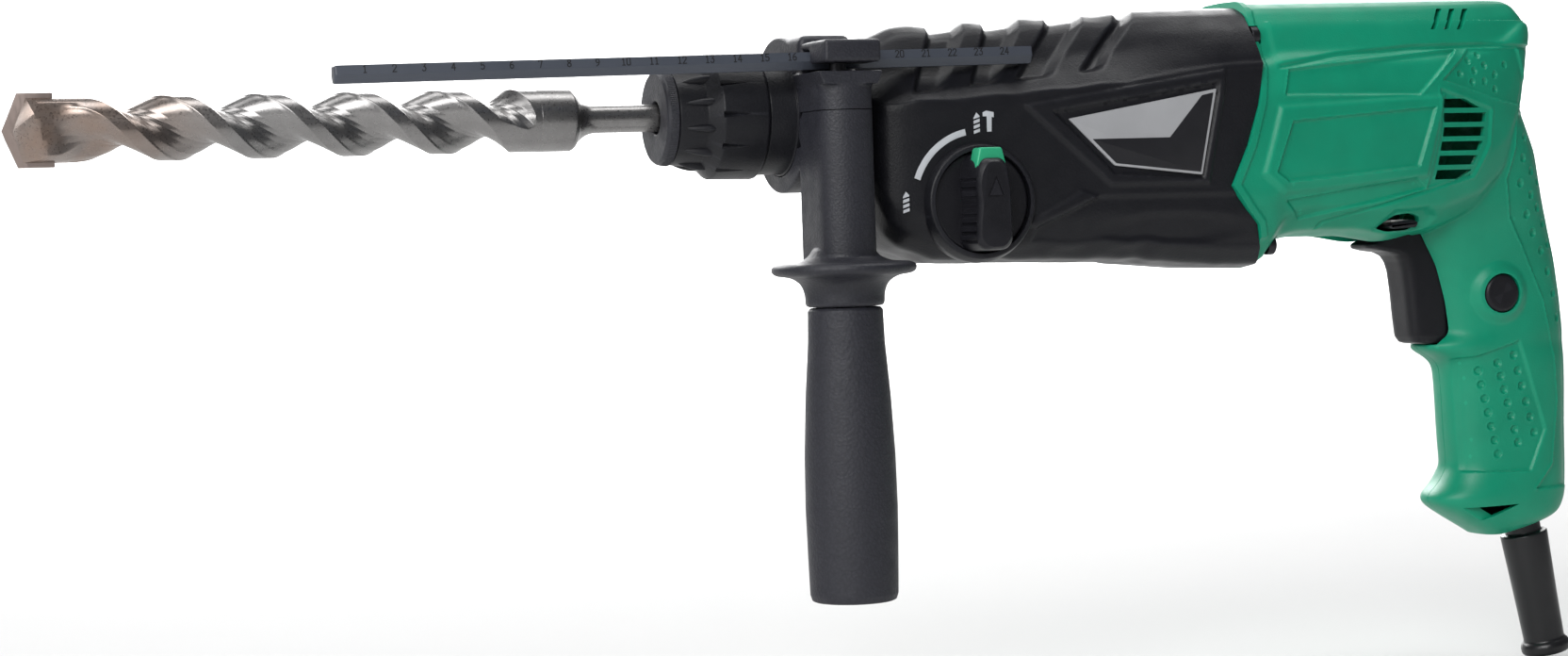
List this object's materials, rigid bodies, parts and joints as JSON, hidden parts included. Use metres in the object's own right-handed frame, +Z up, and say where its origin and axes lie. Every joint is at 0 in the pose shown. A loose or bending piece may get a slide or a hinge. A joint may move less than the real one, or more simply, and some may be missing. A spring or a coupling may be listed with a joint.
{
  "type": "rotary hammer",
  "caption": "Rotary hammer with pistol grip, hammer mechanism, quick-release chuck, masonry bit, swinging side handle and sliding depth gauge.",
  "frame": {"origin": "on the spindle axis at the chuck's front face", "axes": "+X along the spindle axis towards the rear of the tool, +Z up, away from the grip, +Y towards the side away from the mode knob"},
  "size_m": [0.5904, 0.0962, 0.2549],
  "materials": {
    "green_plastic": "satin moulded nylon",
    "black_plastic": "fine spark-eroded nylon",
    "black_rubber": "grained soft grip",
    "bright_steel": "ground",
    "dark_steel": "blackened",
    "carbide": "brazed carbide",
    "copper_winding": "varnished",
    "cast_aluminium": "die cast",
    "name_plate": "brushed with a dark field",
    "bright_green": "satin",
    "fan_plastic": "moulded",
    "carbon": "pressed graphite"
  },
  "bodies": {
    "frame": {"gear_case": "black_plastic", "inner_cover": "cast_aluminium", "housing_left": "green_plastic", "housing_right": "green_plastic", "housing_screw_1": "dark_steel", "housing_screw_2": "dark_steel", "housing_screw_3": "dark_steel", "housing_screw_4": "dark_steel", "case_screw_1": "dark_steel", "case_screw_2": "dark_steel", "case_screw_3": "dark_steel", "case_screw_4": "dark_steel", "nameplate": "name_plate", "spindle_bearing": "bright_steel", "countershaft_front_bearing": "bright_steel", "countershaft_rear_bearing": "bright_steel", "armature_front_bearing": "bright_steel", "armature_rear_bearing": "bright_steel", "stator_core": "dark_steel", "field_coil_upper": "copper_winding", "field_coil_lower": "copper_winding", "brush_plate": "cast_aluminium", "carbon_brush_left": "carbon", "carbon_brush_right": "carbon", "switch_body": "black_plastic", "capacitor": "cast_aluminium", "cord_guard": "black_rubber"},
    "spindle": {"spindle": "bright_steel", "spindle_gear": "bright_steel", "front_cap": "black_rubber", "locking_ball": "bright_steel", "chuck_spring": "bright_steel"},
    "bit": {"drill_bit": "bright_steel", "bit_carbide_tip": "carbide"},
    "chuck_sleeve": {"grip_sleeve": "black_plastic", "retaining_ring": "dark_steel"},
    "impact_bolt": {"impact_bolt": "dark_steel"},
    "striker": {"striker": "dark_steel"},
    "piston": {"piston": "dark_steel"},
    "piston_pin": {"piston_pin": "bright_steel"},
    "wobble_ring": {"wobble_ring": "bright_steel"},
    "countershaft": {"countershaft": "bright_steel", "first_gear": "bright_steel", "wobble_race": "dark_steel"},
    "clutch_sleeve": {"clutch_sleeve": "dark_steel"},
    "shift_fork": {"shift_fork": "cast_aluminium"},
    "armature": {"armature_shaft": "bright_steel", "armature_core": "copper_winding", "cooling_fan": "fan_plastic"},
    "side_handle": {"clamp_lower": "black_plastic", "clamp_upper": "black_plastic", "gauge_clamp": "black_plastic", "handle_bolt": "bright_steel"},
    "side_grip": {"side_grip": "black_rubber"},
    "depth_gauge": {"depth_gauge": "dark_steel"},
    "mode_knob": {"mode_knob": "black_plastic"},
    "knob_button": {"knob_button": "bright_green"},
    "trigger": {"trigger": "black_plastic"},
    "lock_button": {"lock_button": "black_plastic"},
    "reversing_lever": {"reversing_lever": "black_plastic"}
  },
  "joints": [
    {"name": "spindle_spin", "type": "hinge", "parent": "frame", "child": "spindle", "pos_m": [0.09, 0, 0], "axis": [1, 0, 0], "continuous": true},
    {"name": "countershaft_spin", "type": "hinge", "parent": "frame", "child": "countershaft", "pos_m": [0.13, 0, -0.03], "axis": [1, 0, 0], "continuous": true},
    {"name": "armature_spin", "type": "hinge", "parent": "frame", "child": "armature", "pos_m": [0.24, 0, -0.0075], "axis": [1, 0, 0], "continuous": true},
    {"name": "bit_slide", "type": "slide", "parent": "spindle", "child": "bit", "axis": [1, 0, 0], "range_m": [0, 0.008]},
    {"name": "sleeve_slide", "type": "slide", "parent": "spindle", "child": "chuck_sleeve", "axis": [1, 0, 0], "range_m": [0, 0.0045], "stiffness_N_per_m": 1500, "springref_m": -0.004, "deforming": ["chuck_spring"]},
    {"name": "impact_bolt_slide", "type": "slide", "parent": "spindle", "child": "impact_bolt", "axis": [1, 0, 0], "range_m": [-0.007, 0]},
    {"name": "striker_slide", "type": "slide", "parent": "spindle", "child": "striker", "axis": [1, 0, 0], "range_m": [-0.0065, 0.002]},
    {"name": "piston_slide", "type": "slide", "parent": "frame", "child": "piston", "axis": [1, 0, 0], "range_m": [-0.0065, 0.0065]},
    {"name": "piston_pin_turn", "type": "hinge", "parent": "piston", "child": "piston_pin", "pos_m": [0.138, 0, 0], "axis": [0, 1, 0], "range_deg": [-14, 14]},
    {"name": "wobble_rock", "type": "hinge", "parent": "frame", "child": "wobble_ring", "pos_m": [0.138, 0, -0.03], "axis": [0, 1, 0], "range_deg": [-14, 14]},
    {"name": "clutch_shift", "type": "slide", "parent": "countershaft", "child": "clutch_sleeve", "axis": [1, 0, 0], "range_m": [-0.004, 0]},
    {"name": "fork_shift", "type": "slide", "parent": "frame", "child": "shift_fork", "axis": [1, 0, 0], "range_m": [-0.004, 0]},
    {"name": "knob_turn", "type": "hinge", "parent": "frame", "child": "mode_knob", "pos_m": [0.108, -0.036, -0.033], "axis": [0, 1, 0], "range_deg": [-90, 0]},
    {"name": "knob_button_press", "type": "slide", "parent": "mode_knob", "child": "knob_button", "axis": [0, 0, 1], "range_m": [-0.0025, 0], "stiffness_N_per_m": 600, "springref_m": 0.002},
    {"name": "trigger_pull", "type": "slide", "parent": "frame", "child": "trigger", "axis": [1, 0, 0], "range_m": [0, 0.007], "stiffness_N_per_m": 1200, "springref_m": -0.003},
    {"name": "lock_button_press", "type": "slide", "parent": "frame", "child": "lock_button", "axis": [0, 1, 0], "range_m": [0, 0.0025], "stiffness_N_per_m": 500, "springref_m": -0.002},
    {"name": "reversing_lever_push", "type": "slide", "parent": "frame", "child": "reversing_lever", "axis": [0, 1, 0], "range_m": [-0.003, 0.003]},
    {"name": "side_handle_swing", "type": "hinge", "parent": "frame", "child": "side_handle", "pos_m": [0.056, 0, 0], "axis": [1, 0, 0], "range_deg": [-8, 5]},
    {"name": "side_grip_twist", "type": "hinge", "parent": "side_handle", "child": "side_grip", "pos_m": [0.0562, -0.0345, -0.1], "axis": [0, 0, 1], "range_deg": [-360, 0]},
    {"name": "gauge_slide", "type": "slide", "parent": "side_handle", "child": "depth_gauge", "axis": [0.9999, 0, 0.014], "range_m": [-0.065, 0.015]}
  ],
  "couplings": [
    {"joint": "countershaft_spin", "follows": "spindle_spin", "ratio": -3.8},
    {"joint": "armature_spin", "follows": "spindle_spin", "ratio": 20.629},
    {"joint": "wobble_rock", "follows": "piston_slide", "rad_per_m": 33.333},
    {"joint": "piston_pin_turn", "follows": "piston_slide", "rad_per_m": 33.333},
    {"joint": "fork_shift", "follows": "knob_turn", "m_per_rad": 0.0025465},
    {"joint": "clutch_shift", "follows": "knob_turn", "m_per_rad": 0.0025465}
  ]
}
